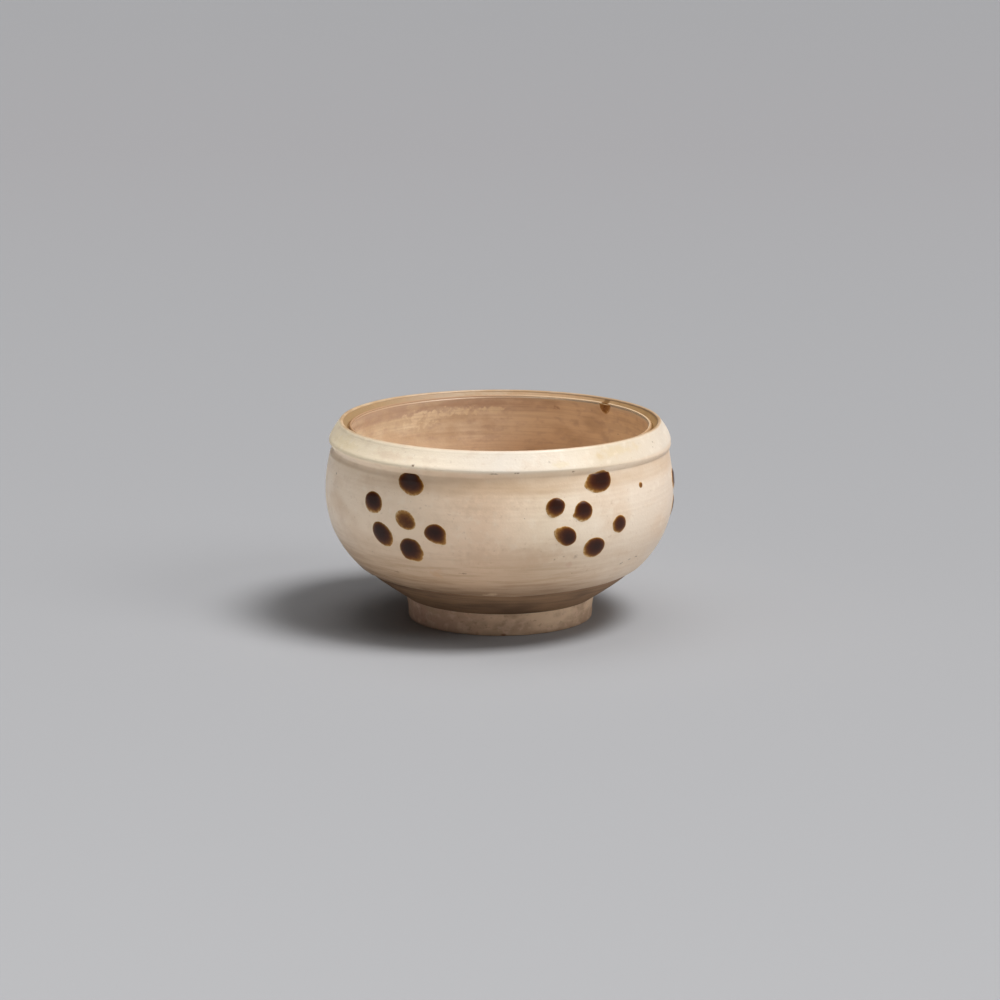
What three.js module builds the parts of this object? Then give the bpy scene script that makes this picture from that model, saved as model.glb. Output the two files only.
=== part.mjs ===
// A small round-bellied stoneware bowl, thrown on a wheel and finished by hand.
// Millimetres, +Z up, foot on the table at z = 0, front of the bowl towards -Y, azimuth from the
// front towards +X. The thrown wall carries a luted foot ring below and a rolled collar round its
// top. A white slip covers the outside and stops short of the foot, a thin glaze lines the inside,
// and iron-brown dots in groups of six, five petals round a middle one, are brushed on the slip.

import * as THREE from 'three';

// Outline of the thrown wall: a cone rises from the foot and swells into the belly, which draws
// in to a shallow neck. The two shares say how far the cone runs straight, and how round the
// belly is below its widest ring.
const bellyRadius = 48.4;
const bellyHeight = 36.5;
const coneSlope = 33;
const coneShare = 0.54;
const bellyShare = 0.95;
const neckHeight = 48.2;
const neckDraw = 1.66;

// Thickness of the clay, and the lip that the wall ends in
const wallThickness = 4.2;
const floorThickness = 5.2;
const floorRadius = 18;
const recessRise = 0.7;
const lipWidth = 0.7;
const lipDrop = 1.55;

// Collar rolled round the wall's top: a band that leans in to a narrow crest, a bevel behind the
// crest, and a groove between the bevel and the lip
const bandReach = 0.8;
const bandRise = 2.7;
const crestInset = 3.05;
const crestRise = 4.75;
const crestRound = 0.5;
const bevelDrop = 1.3;
const rimWidth = 5.25;
const grooveWidth = 0.55;
const grooveDepth = 1.1;
const collarThickness = 2.1;
const seatFall = 1.4;

// Foot ring
const footHeight = 6.4;
const footTopRadius = 26.5;
const footRestRadius = 25.9;
const footWidth = 4.1;
const footFlare = 0.8;
const footChamfer = 0.5;

// Coats: the slip stops above the foot on an uneven line
const slipThickness = 0.52;
const bareBand = 8.9;
const slipEdgeWave = 0.55;
const slipFeather = 1.6;
const glazeThickness = 0.3;
const pooledDepth = 0.6;
const pooledHollow = 0.15;

// Brushed dots. Drops count down from the neck, along the wall.
const dotThickness = 0.4;
const domeShare = 0.72;
const strayDotAzimuth = 53;
const strayDotDrop = 4.95;
const strayDotWidth = 1.5;
const rimDripAzimuth = 134.4;
const rimDripDrop = 2.1;
const rimDripWidth = 3.5;
const rimDripLength = 2.7;

// Clearance between one layer and the next, and the fineness of the facets
const seam = 0.08;
const segments = 52;
const dotSides = 12;

// Each group: its name, the azimuth and drop of its middle dot, and the layout that it follows
const dotGroups = [
  { name: 'front_left', azimuth: -31.8, drop: 11.75, layout: 'open' },
  { name: 'front_right', azimuth: 27.2, drop: 8.95, layout: 'tall' },
  { name: 'right', azimuth: 99, drop: 10.65, layout: 'open' },
  { name: 'back', azimuth: 175, drop: 10.85, layout: 'tall' },
  { name: 'left', azimuth: -109, drop: 10.95, layout: 'open' },
];

// Each dot: how far round and how far up it lies from the middle one, its width and height, all
// in millimetres, and its lean in degrees
const dotLayouts = {
  open: {
    top: [1, 10, 7.6, 5.8, -22],
    left: [-11.5, 3.4, 5.4, 6.3, 80],
    middle: [0, 0, 6, 5.2, -25],
    right: [9, -3, 6.2, 5.6, -25],
    lower_left: [-8.1, -5.1, 7.4, 5.2, -48],
    bottom: [1, -8.3, 6.8, 5.9, -30],
  },
  tall: {
    top: [5.5, 7.5, 7.6, 5.8, 6],
    left: [-8, 1.7, 5.7, 5.1, 35],
    middle: [0, 0, 5.5, 5.6, 70],
    right: [11.9, -4.9, 4, 4.9, 68],
    lower_left: [-5.1, -6.4, 6.3, 5.2, -22],
    bottom: [3.9, -10.4, 6.2, 5.3, 30],
  },
};

const clay = { color: 0xb9a084, roughness: 0.85, metalness: 0 };
const footClay = { color: 0xa78b72, roughness: 0.9, metalness: 0 };
const slip = { color: 0xe9dcc6, roughness: 0.42, metalness: 0 };
const glaze = { color: 0xc7a17a, roughness: 0.4, metalness: 0 };
const oliveGlaze = { color: 0x8d7348, roughness: 0.25, metalness: 0 };
const iron = { color: 0x33211a, roughness: 0.25, metalness: 0 };

const { lerp, smoothstep, degToRad, clamp } = THREE.MathUtils;
const at = (radius, height) => new THREE.Vector2(radius, height);

// Radii and heights that follow from the driving sizes
const neckRadius = bellyRadius - neckDraw;
const bandRadius = neckRadius + bandReach;
const bandHeight = neckHeight + bandRise;
const crestRadius = bandRadius - crestInset;
const crestHeight = bandHeight + crestRise;
const lipRadius = bandRadius - rimWidth;
const lipHeight = crestHeight - lipDrop;
const lipRound = lipWidth / 2;
const grooveInside = lipRadius + lipWidth;
const grooveOutside = grooveInside + grooveWidth;
const grooveFloor = lipHeight - grooveDepth;
const seatRadius = bandRadius - collarThickness;
const seatTop = grooveFloor - seatFall;
const seatSlope = seatFall / (seatRadius - grooveInside);
const hollowRadius = bellyRadius - wallThickness;
const floorTop = footHeight + floorThickness;

// Outside of the clay, from the foot's top edge to the inner edge of the crest
function outsideOutline() {
  const foot = at(footTopRadius, footHeight);
  const widest = at(bellyRadius, bellyHeight);
  const reach = bellyRadius - footTopRadius;
  const corner = at(bellyRadius, footHeight + reach * Math.tan(degToRad(coneSlope)));
  const cone = foot.clone().lerp(corner, coneShare);
  const swell = widest.clone().lerp(corner, bellyShare);
  const path = new THREE.Path();
  path.moveTo(foot.x, foot.y);
  path.bezierCurveTo(cone.x, cone.y, swell.x, swell.y, widest.x, widest.y);
  path.quadraticCurveTo(bellyRadius, lerp(bellyHeight, neckHeight, 0.5), neckRadius, neckHeight);
  path.bezierCurveTo(
    neckRadius - bandReach / 8, lerp(neckHeight, bandHeight, 0.45),
    bandRadius, lerp(neckHeight, bandHeight, 0.4), bandRadius, bandHeight,
  );
  path.absellipse(crestRadius, bandHeight, crestInset, crestRise, 0, Math.PI / 2);
  path.absarc(crestRadius, crestHeight - crestRound, crestRound, Math.PI / 2, Math.PI * 0.8);
  return path;
}

// Inside of the clay, from the lip down to the middle of the floor
function insideOutline() {
  const path = new THREE.Path();
  path.moveTo(lipRadius, lipHeight - lipRound);
  path.quadraticCurveTo(
    hollowRadius, lerp(lipHeight, bellyHeight, 0.45), hollowRadius, bellyHeight,
  );
  path.absellipse(
    floorRadius, bellyHeight, hollowRadius - floorRadius, bellyHeight - floorTop,
    0, -Math.PI / 2, true,
  );
  path.lineTo(0, floorTop);
  return path;
}

const outside = outsideOutline();
const inside = insideOutline();

// Length of an outline up to the end of its given curve
function lengthTo(path, curve) {
  return path.getCurveLengths()[curve];
}

const bellyAt = lengthTo(outside, 0);
const neckAt = lengthTo(outside, 1);
const bandAt = lengthTo(outside, 2);
const crestAt = lengthTo(outside, 3);
const outsideEnd = lengthTo(outside, 4);
const floorAt = lengthTo(inside, 1);
const insideEnd = lengthTo(inside, 2);
const slipRunsTo = bellyAt * 0.58;

// A point of an outline, moved off the clay by the given distance. Outlines run up the outside of
// the bowl and down its inside, so the clay is always on their left.
function standOff(path, length, distance) {
  const share = clamp(length / path.getLength(), 0, 1);
  const point = path.getPointAt(share);
  const along = path.getTangentAt(share);
  return at(point.x + along.y * distance, point.y - along.x * distance);
}

// Even steps along one stretch of an outline, both of its ends included
function steps(from, to, count) {
  return Array.from({ length: count + 1 }, (_, i) => lerp(from, to, i / count));
}

// Lengths at which every layer has a ring of points, so that the layers nest
const lowerWallRings = steps(0, slipRunsTo, 4);
const upperWallRings = [
  ...steps(slipRunsTo, bellyAt, 4).slice(1), ...steps(bellyAt, neckAt, 3).slice(1),
];
const collarRings = [
  ...steps(neckAt, bandAt, 3), ...steps(bandAt, crestAt, 5).slice(1),
  ...steps(crestAt, outsideEnd, 2).slice(1),
];
const insideRings = [...steps(0, floorAt, 9), insideEnd];

// A profile of (radius, height) points is turned about the bowl's axis, front first
function turned(profile) {
  return new THREE.LatheGeometry(profile, segments).rotateX(Math.PI / 2);
}

function closed(profile) {
  return [...profile, profile[0].clone()];
}

function thrownWall() {
  const recess = [at(0, footHeight + recessRise), at(footTopRadius - footWidth, footHeight)];
  const belly = [...lowerWallRings, ...upperWallRings].map((s) => standOff(outside, s, 0));
  const seat = [at(seatRadius, neckHeight), at(seatRadius, seatTop), at(grooveInside, grooveFloor)];
  const lip = steps(0, Math.PI, 4).slice(0, -1).map((turn) => at(
    lipRadius + lipRound * (1 + Math.cos(turn)), lipHeight + lipRound * (Math.sin(turn) - 1),
  ));
  const hollow = insideRings.map((s) => standOff(inside, s, 0));
  hollow.at(-1).x = 0;
  return turned([...recess, ...belly, ...seat, ...lip, ...hollow]);
}

// The collar is rolled over the wall's top, so its underside follows the seat one seam away
function rimCollar() {
  const roll = collarRings.map((s) => standOff(outside, s, 0));
  roll[0].y += seam;
  return turned(closed([
    at(seatRadius + seam, neckHeight + seam),
    ...roll,
    at(grooveOutside, crestHeight - crestRound - bevelDrop),
    at(grooveOutside, grooveFloor - seatSlope * grooveWidth + 2 * seam),
    at(seatRadius + seam, seatTop + 2 * seam),
  ]));
}

function footRing() {
  const top = footHeight - seam;
  const restInside = footRestRadius - footWidth;
  return turned(closed([
    at(restInside + footChamfer, 0),
    at(footRestRadius - footChamfer, 0),
    at(footRestRadius, footChamfer),
    at(lerp(footRestRadius, footTopRadius, 0.2), top / 2),
    at(footTopRadius, top),
    at(footTopRadius - footWidth + footFlare, top),
    at(restInside + footFlare / 2, top / 2),
    at(restInside, footChamfer),
  ]));
}

// Length along the outline at which the slip stops, a little lower here and there
function slipEdge(azimuth) {
  const run = Math.sin(azimuth * 2 + 2.2) + 0.6 * Math.sin(azimuth * 3 + 0.4)
    + 0.35 * Math.sin(azimuth * 7 + 1.1);
  const rise = bareBand - slipEdgeWave * (Math.cos(azimuth) + 0.5 * run);
  return rise / Math.sin(degToRad(coneSlope + 3));
}

// Both faces of the slip at one azimuth: up the outside from the edge, and back down behind it.
// The lowest rings slide along the wall with the edge, and the coat thins out towards its ends.
function slipSection(azimuth) {
  const edge = slipEdge(azimuth);
  const rings = [...steps(edge, slipRunsTo, 3), ...upperWallRings, ...collarRings.slice(1)];
  const front = rings.map((s) => {
    const fromEnd = Math.min(s - edge, (outsideEnd - s) * 2);
    const thickness = slipThickness * smoothstep(fromEnd, -slipFeather, slipFeather);
    return standOff(outside, s, seam + thickness);
  });
  const back = rings.map((s) => standOff(outside, s, seam));
  return [...front, ...back.reverse()];
}

function closedSolid(points, faces) {
  const geometry = new THREE.BufferGeometry();
  geometry.setAttribute('position', new THREE.Float32BufferAttribute(points.flat(), 3));
  geometry.setIndex(faces);
  geometry.computeVertexNormals();
  return geometry;
}

function roundTheBowl(place, azimuth) {
  return [place.x * Math.sin(azimuth), -place.x * Math.cos(azimuth), place.y];
}

// A closed ring whose section changes with the azimuth
function ringOf(sectionAt) {
  const sections = steps(0, 2 * Math.PI, segments).slice(0, -1)
    .map((azimuth) => sectionAt(azimuth).map((place) => roundTheBowl(place, azimuth)));
  const size = sections[0].length;
  const faces = [];
  for (let i = 0; i < segments; i += 1) {
    const [near, far] = [i * size, ((i + 1) % segments) * size];
    for (let j = 0; j < size; j += 1) {
      const above = (j + 1) % size;
      faces.push(near + j, far + j, near + above, near + above, far + j, far + above);
    }
  }
  return closedSolid(sections.flat(), faces);
}

function innerGlaze() {
  const bedded = insideRings.map((s) => standOff(inside, s, seam));
  const open = insideRings.map((s) => standOff(inside, s, seam + glazeThickness));
  bedded.at(-1).x = 0;
  open.at(-1).x = 0;
  return turned([...bedded.reverse(), ...open]);
}

// Glaze that ran into the groove behind the lip and pooled there, hollow on top
function grooveGlaze() {
  const [near, far] = [grooveInside + seam, grooveOutside - seam];
  const bed = grooveFloor + seam;
  return turned(closed([
    at(near, bed),
    at(far, bed - seatSlope * (far - near)),
    at(far, bed + pooledDepth),
    at((near + far) / 2, bed + pooledDepth - pooledHollow),
    at(near, bed + pooledDepth),
  ]));
}

// A brushed dot: a low dome whose underside follows an outline, the given distance off the clay.
// Underside and dome have the same rings, so that the dot bends with the wall and stays as thick.
// It is a little fuller on one side, as a brush leaves it.
function brushedDot(path, base, azimuth, length, width, height, lean) {
  const tilt = degToRad(lean);
  const middle = degToRad(azimuth);
  const spot = (across, up, rise) => {
    const along = across * Math.cos(tilt) - up * Math.sin(tilt);
    const climb = across * Math.sin(tilt) + up * Math.cos(tilt);
    const place = standOff(path, length + climb, base + rise);
    return roundTheBowl(place, middle + along / place.x);
  };
  const ring = (share, rise) => steps(0, 2 * Math.PI, dotSides).slice(0, -1).map((turn) => {
    const fuller = 1 + 0.1 * Math.cos(turn);
    return spot(
      (width / 2) * share * Math.cos(turn), (height / 2) * share * Math.sin(turn) * fuller, rise,
    );
  });
  const points = [
    spot(0, 0, 0),
    ...ring(domeShare, 0),
    ...ring(1, 0),
    ...ring(domeShare, dotThickness * 0.75),
    spot(0, 0, dotThickness),
  ];
  const crown = points.length - 1;
  const faces = [];
  for (let i = 0; i < dotSides; i += 1) {
    const [under, nextUnder] = [1 + i, 1 + ((i + 1) % dotSides)];
    faces.push(0, nextUnder, under);
    for (const near of [under, under + dotSides]) {
      const next = near - under + nextUnder;
      const [above, nextAbove] = [near + dotSides, next + dotSides];
      faces.push(near, next, above, above, next, nextAbove);
    }
    faces.push(under + 2 * dotSides, nextUnder + 2 * dotSides, crown);
  }
  return closedSolid(points, faces);
}

const bowl = new THREE.Group();
bowl.name = 'stoneware_bowl';

function addPiece(name, geometry, finish) {
  const piece = new THREE.Mesh(geometry, new THREE.MeshStandardMaterial(finish));
  piece.name = name;
  bowl.add(piece);
}

addPiece('thrown_wall', thrownWall(), clay);
addPiece('rim_collar', rimCollar(), clay);
addPiece('foot_ring', footRing(), footClay);
addPiece('white_slip', ringOf(slipSection), slip);
addPiece('inner_glaze', innerGlaze(), glaze);
addPiece('groove_glaze', grooveGlaze(), oliveGlaze);

const onSlip = seam + slipThickness + seam;

function addDotOnSlip(name, azimuth, drop, width, height, lean) {
  addPiece(name, brushedDot(outside, onSlip, azimuth, neckAt - drop, width, height, lean), iron);
}

for (const group of dotGroups) {
  for (const [dot, [round, up, ...brushed]] of Object.entries(dotLayouts[group.layout])) {
    const shift = THREE.MathUtils.radToDeg(round / bellyRadius);
    addDotOnSlip(`dot_${group.name}_${dot}`, group.azimuth + shift, group.drop - up, ...brushed);
  }
}
addDotOnSlip('dot_stray', strayDotAzimuth, strayDotDrop, strayDotWidth, strayDotWidth, 0);

// On the hollow inside, flat facets stand nearer to the axis than the round that they follow
const facetSag = hollowRadius * (1 - Math.cos(Math.PI / segments));
const onGlaze = seam + glazeThickness + seam + 2 * facetSag;
addPiece('dot_inner_rim', brushedDot(
  inside, onGlaze, rimDripAzimuth, rimDripDrop, rimDripWidth, rimDripLength, 0,
), iron);

export default bowl;
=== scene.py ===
import math

import bpy
import numpy as np
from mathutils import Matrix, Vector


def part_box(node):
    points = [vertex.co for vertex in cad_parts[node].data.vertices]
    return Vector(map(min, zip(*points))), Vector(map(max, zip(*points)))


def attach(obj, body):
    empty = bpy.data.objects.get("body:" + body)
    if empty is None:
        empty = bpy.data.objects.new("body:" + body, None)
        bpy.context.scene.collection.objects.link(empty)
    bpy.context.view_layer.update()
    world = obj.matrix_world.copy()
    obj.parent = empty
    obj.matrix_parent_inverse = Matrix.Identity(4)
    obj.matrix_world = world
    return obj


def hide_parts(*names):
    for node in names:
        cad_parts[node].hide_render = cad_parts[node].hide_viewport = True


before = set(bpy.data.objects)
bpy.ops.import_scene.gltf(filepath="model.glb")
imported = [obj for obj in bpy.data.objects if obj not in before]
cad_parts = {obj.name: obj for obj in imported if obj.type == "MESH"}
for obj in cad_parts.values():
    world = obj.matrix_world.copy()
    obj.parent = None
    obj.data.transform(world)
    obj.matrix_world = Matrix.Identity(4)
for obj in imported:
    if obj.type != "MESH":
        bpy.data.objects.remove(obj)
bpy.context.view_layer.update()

# A small round-bellied stoneware bowl: thrown wall, rolled collar at the rim, luted foot ring, white slip
# outside with brushed iron dots, thin glaze inside. Lengths are millimetres until a mesh is made. Azimuth
# counts from the front, -Y, towards +X.

MM = 0.001


def low(node):
    """Lowest corner of a node's box, in millimetres."""
    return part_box(node)[0] / MM


def high(node):
    """Highest corner of a node's box, in millimetres."""
    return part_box(node)[1] / MM


# Sizes

seam = 0.08

# Wall: a cone rises from the foot, swells into the belly and draws in to a shallow neck. The bare length
# may show below the slip, so it is cut finer.
belly_radius = high("thrown_wall").x
belly_height = 36.5
cone_slope = math.radians(33)
cone_share = 0.54
belly_share = 0.95
neck_height = 48.2
neck_draw = 1.66
foot_height = low("thrown_wall").z
floor_radius = 18.0
floor_top = low("inner_glaze").z - seam
hollow_radius = high("inner_glaze").x + seam
recess_rise = 0.7
recess_bevel = 2.2
bare_length = 26

# Collar: a band that leans in to a narrow crest, a bevel behind it, a groove, and the wall's own lip. The
# band's lower edge lifts in front and on the left, its face reaches out at the front left, and the fold under
# it is tucked in on the left. The lip stands higher at the back right.
band_radius = high("rim_collar").x - 0.35
band_rise = 3.4
crest_inset = 3.05
crest_height = high("rim_collar").z + 0.05
crest_round = 0.4
crest_reach = 0.45
crest_shoulder = 0.35
band_foot = 1.4
front_lift = 1.45
left_reach = 1.0
left_tuck = 0.6
left_lift = 1.0
lip_lift = 0.45
lip_bearing = 125
bevel_drop = 1.2
rim_width = 5.7
lip_width = 0.75
lip_height = high("thrown_wall").z + 0.75
groove_width = 0.55
groove_floor = high("thrown_wall").z - 1.1
collar_thickness = 2.1
seat_fall = 1.4

# Foot ring
foot_top_radius = high("foot_ring").x
foot_rest_radius = foot_top_radius - 0.6
foot_width = 4.1
foot_flare = 0.8
foot_chamfer = 0.5

# Coats
slip_thickness = 0.5
bare_band = 8.9
slip_edge_wave = 0.55
slip_feather = 1.6
glaze_thickness = 0.28
pool_depth = 1.05
pool_hollow = 0.168

# Hand work: how far the throwing strays from a true round, how far the belly stands back on the right, how
# far the rim falls there and at the back, and how deep the fingers' lines are
sway_two = 0.05
sway_three = 0.04
right_draw = 0.4
rim_fall = 0.15
back_fall = 0.3
line_depth = 0.016

# Points round the bowl
sides = 480

neck_radius = belly_radius - neck_draw
band_low = neck_height + band_foot
band_height = neck_height + band_rise
crest_radius = band_radius - crest_inset
slope_end = (crest_radius + crest_reach, crest_height - crest_shoulder)
lip_radius = band_radius - rim_width
lip_round = lip_width / 2
groove_inside = lip_radius + lip_width
groove_outside = groove_inside + groove_width
seat_radius = band_radius - collar_thickness
seat_top = groove_floor - seat_fall
seat_slope = seat_fall / (seat_radius - groove_inside)


# Outlines

def blend(a, b, share):
    return a + (b - a) * share


def smooth(value, start, end):
    """0 before start, 1 after end, and an even rise between them."""
    share = np.clip((value - start) / (end - start), 0, 1)
    return share * share * (3 - 2 * share)


def bezier(*corners, count=90):
    share = np.linspace(0, 1, count)[:, None]
    last = len(corners) - 1
    return sum(
        math.comb(last, i) * (1 - share) ** (last - i) * share ** i * np.array(corner, float)
        for i, corner in enumerate(corners)
    )


def arc(middle, radii, start, end, count=90):
    turn = np.linspace(start, end, count)
    return np.stack([middle[0] + radii[0] * np.cos(turn), middle[1] + radii[1] * np.sin(turn)], 1)


def joined(*runs):
    """Runs of points laid end to end, each starting where the last one stops."""
    return np.vstack([runs[0]] + [run[1:] for run in runs[1:]])


class Outline:
    """A line of (radius, height) points with the clay on its left, walked by length."""

    def __init__(self, *runs):
        self.points = joined(*runs)
        steps = np.linalg.norm(np.diff(self.points, axis=0), axis=1)
        self.lengths = np.concatenate([[0], np.cumsum(steps)])
        ends = np.cumsum([len(runs[0])] + [len(run) - 1 for run in runs[1:]]) - 1
        self.stops = self.lengths[ends]
        heading = np.gradient(self.points, self.lengths, axis=0)
        self.heading = heading / np.linalg.norm(heading, axis=1)[:, None]

    def at(self, length, off=0.0):
        """Radius and height at a length, moved off the clay."""
        radius, height = (np.interp(length, self.lengths, self.points[:, k]) for k in (0, 1))
        out, up = (np.interp(length, self.lengths, self.heading[:, k]) for k in (0, 1))
        return radius + up * off, height - out * off


def outside_outline():
    foot = np.array([foot_top_radius, foot_height])
    widest = np.array([belly_radius, belly_height])
    corner = np.array([
        belly_radius, foot_height + (belly_radius - foot_top_radius) * math.tan(cone_slope)])
    return Outline(
        bezier(foot, blend(foot, corner, cone_share), blend(widest, corner, belly_share), widest),
        bezier(widest, (belly_radius, blend(belly_height, neck_height, 0.5)), (neck_radius, neck_height)),
        bezier(
            (neck_radius, neck_height),
            (neck_radius - 0.1, blend(neck_height, band_low, 0.6)),
            (band_radius, blend(neck_height, band_low, 0.4)),
            (band_radius, band_low),
            count=60,
        ),
        joined(
            bezier(
                (band_radius, band_low),
                (band_radius, band_low + 1.6),
                (band_radius - 0.45, band_height + 0.9),
                slope_end,
                count=100,
            ),
            bezier(slope_end, (crest_radius + 0.25, crest_height), (crest_radius, crest_height), count=30),
        ),
        arc((crest_radius, crest_height - crest_round), (crest_round, crest_round),
            math.pi / 2, math.pi * 0.7, count=30),
    )


def inside_outline():
    drop = belly_height - floor_top
    return Outline(
        bezier(
            (lip_radius, lip_height - lip_round),
            (hollow_radius, blend(lip_height, belly_height, 0.45)),
            (hollow_radius, belly_height),
        ),
        arc((floor_radius, belly_height), (hollow_radius - floor_radius, drop), 0, -math.pi / 2),
        bezier((floor_radius, floor_top), (0.3, floor_top)),
    )


outside = outside_outline()
inside = inside_outline()
belly_at, neck_at, band_at, crest_at, outside_end = outside.stops
inside_end = inside.lengths[-1]

# The band's face by height. Where the face runs level, a millionth more at each point keeps them apart.
band_face = outside.points[(outside.lengths >= band_at) & (outside.lengths <= crest_at)]
rising = band_face[:, 1] + 1e-6 * np.arange(len(band_face))
band_lean = np.hypot(1, np.gradient(band_face[:, 0], rising))

around = np.linspace(0, 2 * math.pi, sides, endpoint=False)[None, :]


def down(*lengths):
    """One row of lengths, laid out so that it crosses the azimuths."""
    return np.concatenate([np.atleast_1d(run) for run in lengths])[:, None]


# Hand-thrown unevenness

def unevenness(azimuth, along, seed, pitches, turns=4, waves=12):
    """Smooth random relief between about -1 and 1 that closes on itself round the bowl."""
    pick = np.random.default_rng(seed)
    total = 0
    for _ in range(waves):
        rounds = pick.integers(0, turns + 1)
        pitch = pick.uniform(*pitches)
        total = total + np.cos(rounds * azimuth + 2 * math.pi * along / pitch + pick.uniform(0, 2 * math.pi))
    return total / math.sqrt(2 * waves)


def throwing_lines(azimuth, along, seed):
    """Fingers' spiral traces in the wall: fine and close, with a slower swell under them."""
    fine = unevenness(azimuth, along, seed, (0.9, 2.4), turns=1)
    slow = unevenness(azimuth, along, seed + 1, (5, 12), turns=2)
    return line_depth * (fine + 1.4 * slow - 1)


def towards(azimuth, bearing):
    """1 on a bearing in degrees, falling to 0 a quarter turn away from it."""
    return np.clip(np.cos(azimuth - math.radians(bearing)), 0, 1)


def shaped_band(azimuth, radius, height):
    """The rim band's own shape: a straight cone in front, rounder at the sides, over a lifted edge."""
    in_front, to_left = towards(azimuth, 0), towards(azimuth, -90)
    lift = front_lift * in_front ** 1.5 + left_lift * to_left ** 6
    at_edge = smooth(height, neck_height - 1, band_low) * smooth(height, band_low + 3.2, band_low)
    lifted = height + lift * at_edge
    cone_lean = (slope_end[0] - band_radius) / (slope_end[1] - band_low - lift)
    cone = band_radius + cone_lean * (lifted - band_low - lift)
    full = np.interp(height, band_face[:, 1], band_face[:, 0])
    coat = (radius - full) * np.hypot(1, cone_lean) / np.interp(height, band_face[:, 1], band_lean)
    on_band = (height >= band_low) & (height <= slope_end[1]) & (radius > seat_radius)
    outer = smooth(radius, crest_radius, crest_radius + 0.4)
    radius = radius + (cone + coat - radius) * on_band * outer * in_front ** 0.25
    # the face reaches out at the front left, most at its widest height
    reach = left_reach * outer * to_left * in_front ** 0.6
    widest = band_low + 0.8
    radius = radius + reach * smooth(height, neck_height, widest) * smooth(height, slope_end[1], widest)
    # the fold under the band is deeper on the left
    fold = smooth(height, neck_height - 1.1, neck_height) * smooth(height, band_low + 0.4, neck_height)
    fold = fold * smooth(radius, seat_radius + 0.3, seat_radius + 1.5)
    return radius - left_tuck * to_left ** 2 * fold, lifted


def place(azimuth, radius, height):
    """A point of the finished bowl, from its azimuth, radius and height on the true round.

    The wall sways and draws in on the right, the band takes its shape, the lip stands higher at the back
    right, and the rim falls to the right and the back.
    """
    azimuth, radius, height = np.broadcast_arrays(azimuth, radius, height)
    grown = smooth(height, foot_height + 2, belly_height - 6) * smooth(height, band_height, neck_height - 4)
    to_right = (1 + np.sin(azimuth)) / 2
    sway = sway_two * np.cos(2 * azimuth + 0.4) + sway_three * np.cos(3 * azimuth - 1.3)
    radius = radius + grown * (sway - right_draw * to_right)
    radius, lifted = shaped_band(azimuth, radius, height)
    on_lip = smooth(height, lip_height - 5, lip_height - 1) * smooth(radius, groove_outside, groove_inside)
    height = lifted + lip_lift * towards(azimuth, lip_bearing) ** 1.5 * on_lip
    fall = rim_fall * to_right ** 3 + back_fall * ((1 - np.cos(azimuth)) / 2) ** 2
    height = height - fall * smooth(height, belly_height - 8, crest_height)
    return np.stack([radius * np.sin(azimuth), -radius * np.cos(azimuth), height], -1)


def slip_edge(azimuth):
    """Length up the wall at which the slip stops."""
    run = np.sin(azimuth * 2 + 2.2) + 0.6 * np.sin(azimuth * 3 + 0.4) + 0.35 * np.sin(azimuth * 7 + 1.1)
    bare_height = bare_band - slip_edge_wave * (np.cos(azimuth) + 0.5 * run)
    ragged = 0.12 * unevenness(azimuth, 0, 40, (5, 9), turns=60, waves=20)
    return bare_height / math.sin(cone_slope + math.radians(3)) + ragged


# Meshes

def make_piece(name, skin, finish, node):
    """A piece from its skin's points and faces, in place of the node it dresses."""
    points, faces = skin
    mesh = bpy.data.meshes.new(name)
    mesh.from_pydata((points * MM).tolist(), [], faces)
    mesh.shade_smooth()
    mesh.materials.append(finish)
    piece = bpy.data.objects.new(name, mesh)
    bpy.context.scene.collection.objects.link(piece)
    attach(piece, "root")
    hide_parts(node)
    return piece


def wrapped(rings, loop):
    """Points and faces of a skin over rings of points; open ends close on a point in their middle."""
    rows, count = rings.shape[:2]
    points = rings.reshape(-1, 3)
    i = np.arange(rows if loop else rows - 1)[:, None]
    j = np.arange(count)[None, :]
    after = (j + 1) % count
    above = (i + 1) % rows
    quads = np.stack(np.broadcast_arrays(
        i * count + j, i * count + after, above * count + after, above * count + j), -1)
    faces = quads.reshape(-1, 4).tolist()
    if not loop:
        start, end = len(points), len(points) + 1
        points = np.vstack([points, rings[0].mean(0), rings[-1].mean(0)])
        top = (rows - 1) * count
        for k in range(count):
            following = (k + 1) % count
            faces.append([start, following, k])
            faces.append([end, top + k, top + following])
    return points, faces


def spread(corners, step):
    """Points along straight runs between corners, no further apart than step."""
    line = [corners[0]]
    for near, far in zip(corners, corners[1:]):
        count = max(1, math.ceil(math.dist(near, far) / step))
        line += [tuple(blend(np.array(near), np.array(far), k / count)) for k in range(1, count + 1)]
    return np.array(line)


def turned_section(*stretches):
    """Rings of a section given as stretches of (radius, height) rows, each turned about the axis."""
    radius = np.concatenate([np.broadcast_to(r, (len(r), sides)) for r, _ in stretches])
    height = np.concatenate([np.broadcast_to(h, (len(h), sides)) for _, h in stretches])
    return place(around, radius, height)


def straight(corners, step=0.6):
    line = spread(corners, step)
    return line[:, :1], line[:, 1:]


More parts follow.
